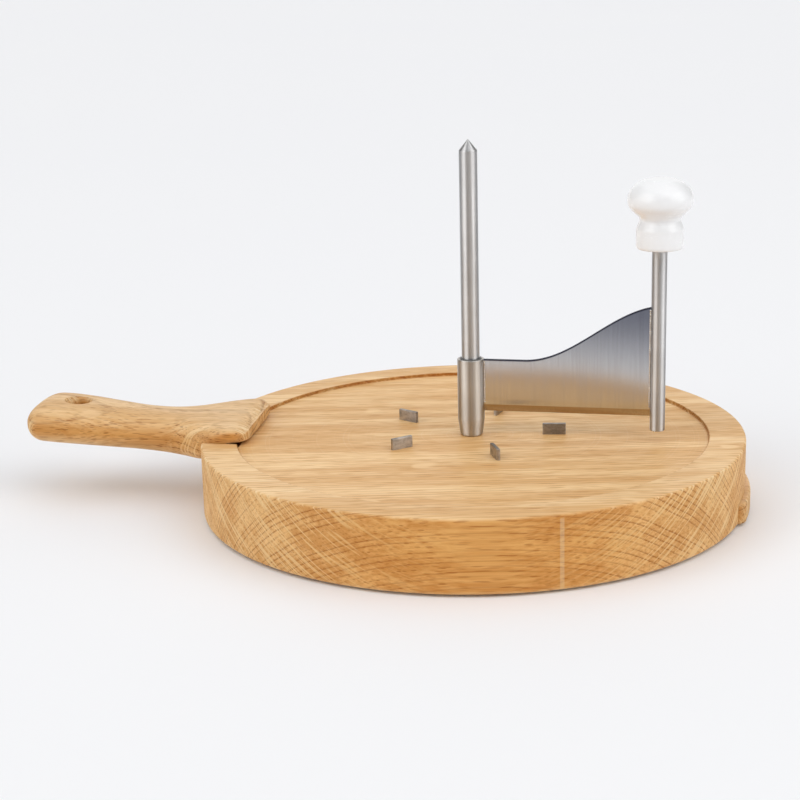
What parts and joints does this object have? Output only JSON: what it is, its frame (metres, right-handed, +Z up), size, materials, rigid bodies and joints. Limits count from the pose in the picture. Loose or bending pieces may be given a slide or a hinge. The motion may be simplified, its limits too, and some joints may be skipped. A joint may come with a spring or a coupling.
{
  "type": "rotary cheese scraper",
  "caption": "Round oak board with a hand grip, an upright pointed spindle and a steel blade cranked round it by a white knob to scrape curls from a cheese.",
  "frame": {"origin": "centre of the round board, on the plane that its four feet stand on", "axes": "+Z up along the spindle, hand grip towards -X, blade at rest towards +X"},
  "size_m": [0.2982, 0.22, 0.1482],
  "materials": {
    "board_oak": "light oiled oak",
    "handle_oak": "light oiled oak, grain along the grip",
    "screw_steel": "zinc plated",
    "spindle_steel": "drawn stainless steel, polished lengthwise",
    "fastener_steel": "bright steel",
    "bush_polymer": "dark bearing polymer",
    "hub_steel": "turned stainless steel",
    "weld_steel": "bright laser weld",
    "blade_steel": "brushed stainless sheet",
    "rod_steel": "drawn stainless steel",
    "knob_plastic": "white gloss",
    "pin_steel": "stamped stainless sheet",
    "foot_rubber": "dark matt elastomer"
  },
  "bodies": {
    "base": {"board": "board_oak", "handle": "handle_oak", "handle_screws": "screw_steel", "spindle": "spindle_steel", "spindle_washer": "fastener_steel", "spindle_nut": "fastener_steel", "cheese_pin_1": "pin_steel", "cheese_pin_2": "pin_steel", "cheese_pin_3": "pin_steel", "cheese_pin_4": "pin_steel", "cheese_pin_5": "pin_steel", "foot_1": "foot_rubber", "foot_2": "foot_rubber", "foot_3": "foot_rubber", "foot_4": "foot_rubber"},
    "bush": {"hub_bush": "bush_polymer"},
    "crank": {"hub_sleeve": "hub_steel", "hub_weld": "weld_steel", "blade": "blade_steel", "rod_weld": "weld_steel", "crank_rod": "rod_steel", "knob_retainer": "fastener_steel"},
    "knob": {"knob": "knob_plastic"}
  },
  "joints": [
    {"name": "blade_lift", "type": "slide", "parent": "base", "child": "bush", "axis": [0, 0, 1], "range_m": [0, 0.12]},
    {"name": "blade_turn", "type": "hinge", "parent": "bush", "child": "crank", "pos_m": [0, 0, 0.045], "axis": [0, 0, 1], "continuous": true},
    {"name": "knob_spin", "type": "hinge", "parent": "crank", "child": "knob", "pos_m": [0.0749, -0.00393, 0.12], "axis": [0, 0, 1], "continuous": true}
  ]
}
